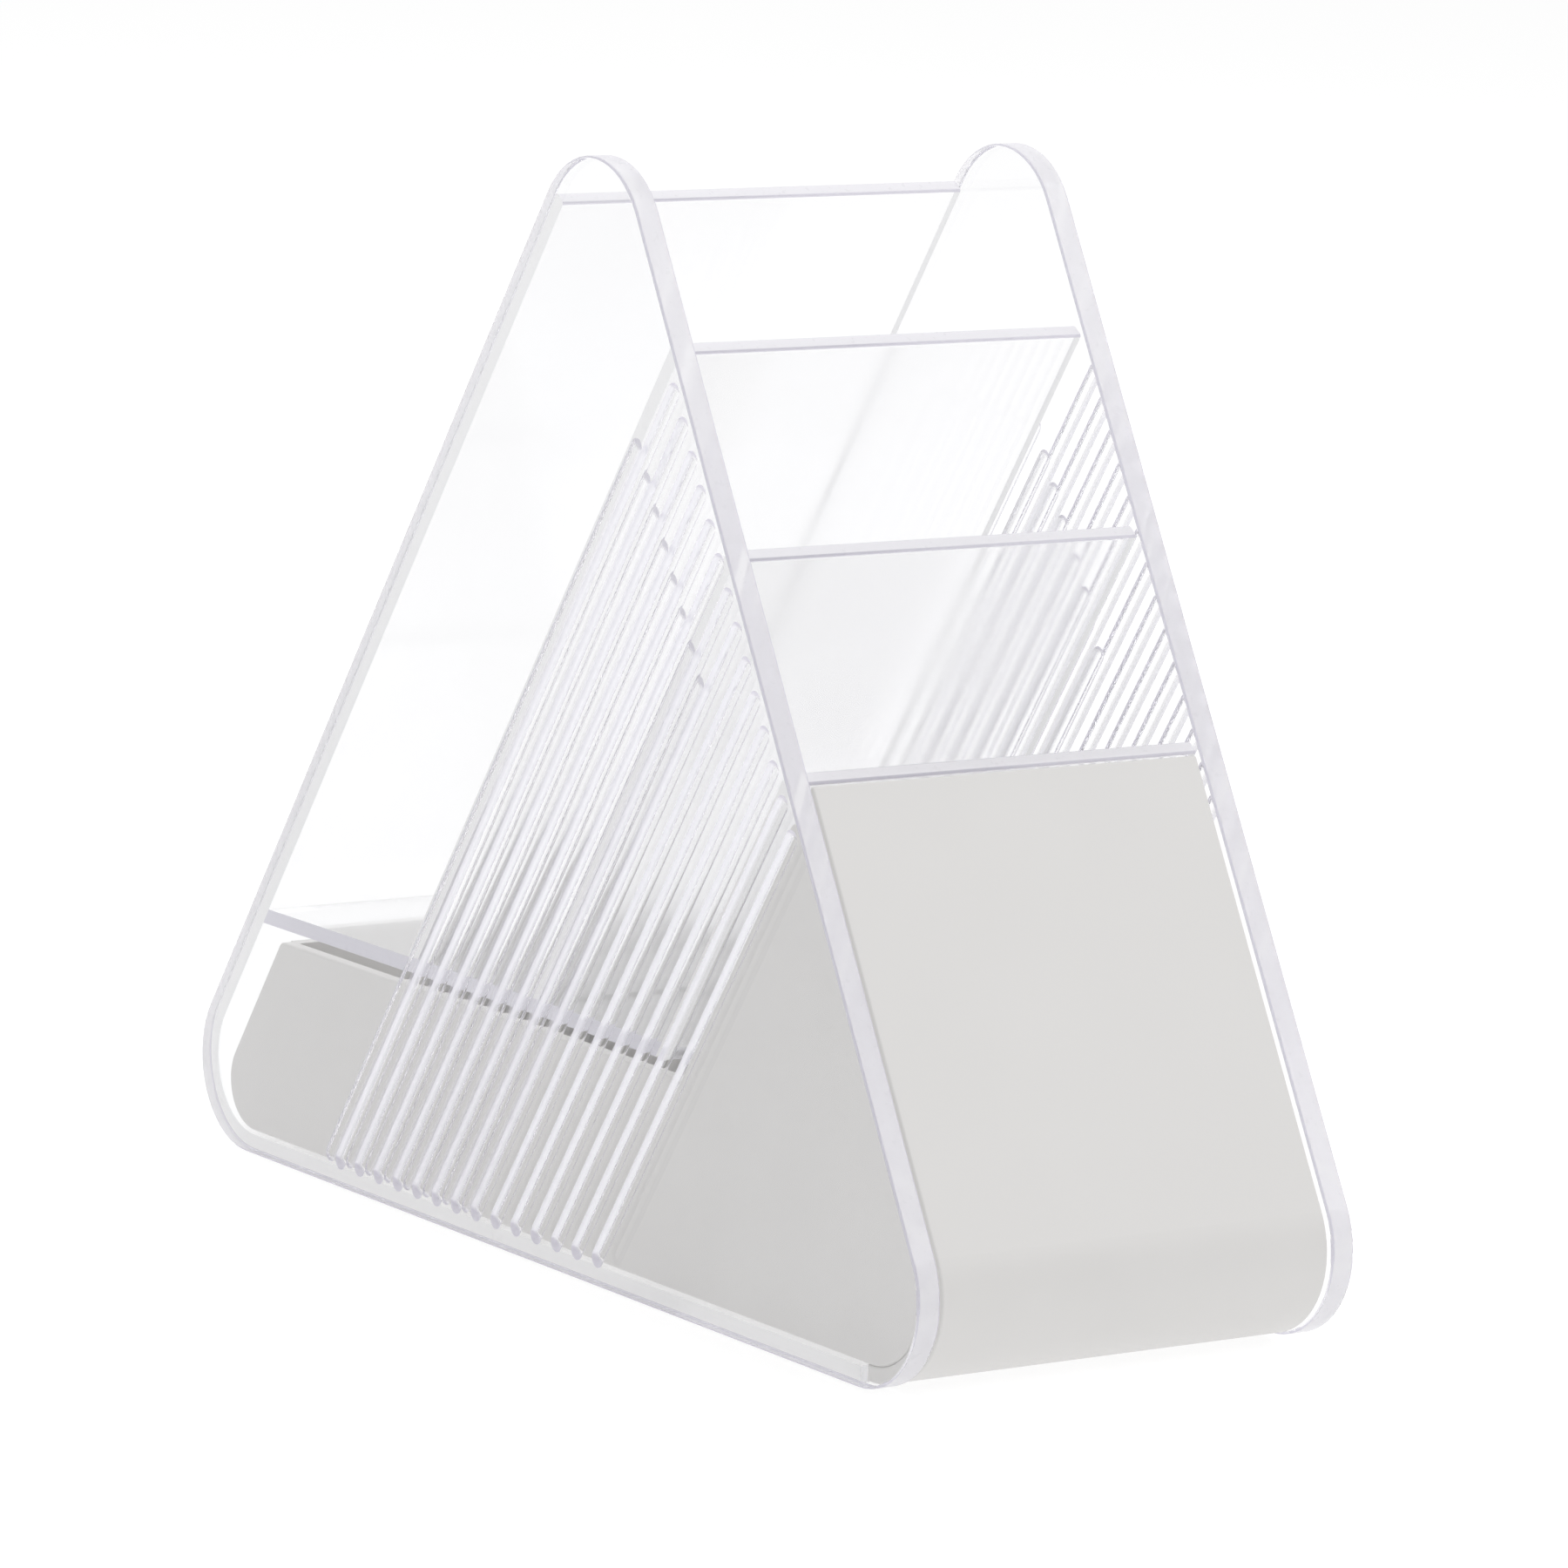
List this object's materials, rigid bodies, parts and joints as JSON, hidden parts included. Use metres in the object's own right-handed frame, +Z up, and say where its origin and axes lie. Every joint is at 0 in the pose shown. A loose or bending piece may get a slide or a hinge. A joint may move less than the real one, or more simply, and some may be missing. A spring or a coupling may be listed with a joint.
{
  "type": "desk organiser rack",
  "caption": "Triangular clear desk rack with fluted sides, slanted pockets at the back and a solid-fronted drawer that slides out at the foot.",
  "frame": {"origin": "middle of the footprint, on the surface that the rack stands on", "axes": "+X across the rack, -Y out of the drawer's front, +Z up"},
  "size_m": [0.078, 0.196, 0.1668],
  "materials": {
    "clear_plastic": "clear, polished",
    "grey_plastic": "satin, light warm grey"
  },
  "bodies": {
    "housing": {"left_side_panel": "clear_plastic", "right_side_panel": "clear_plastic", "back_and_base_shell": "clear_plastic", "shelf": "clear_plastic", "rear_divider": "clear_plastic", "middle_divider": "clear_plastic", "front_pocket_wall": "clear_plastic"},
    "drawer": {"drawer_front": "grey_plastic", "drawer_tub": "grey_plastic", "drawer_left_cheek": "grey_plastic", "drawer_right_cheek": "grey_plastic"}
  },
  "joints": [
    {"name": "drawer_slide", "type": "slide", "parent": "housing", "child": "drawer", "axis": [0, -1, 0], "range_m": [0, 0.09]}
  ]
}
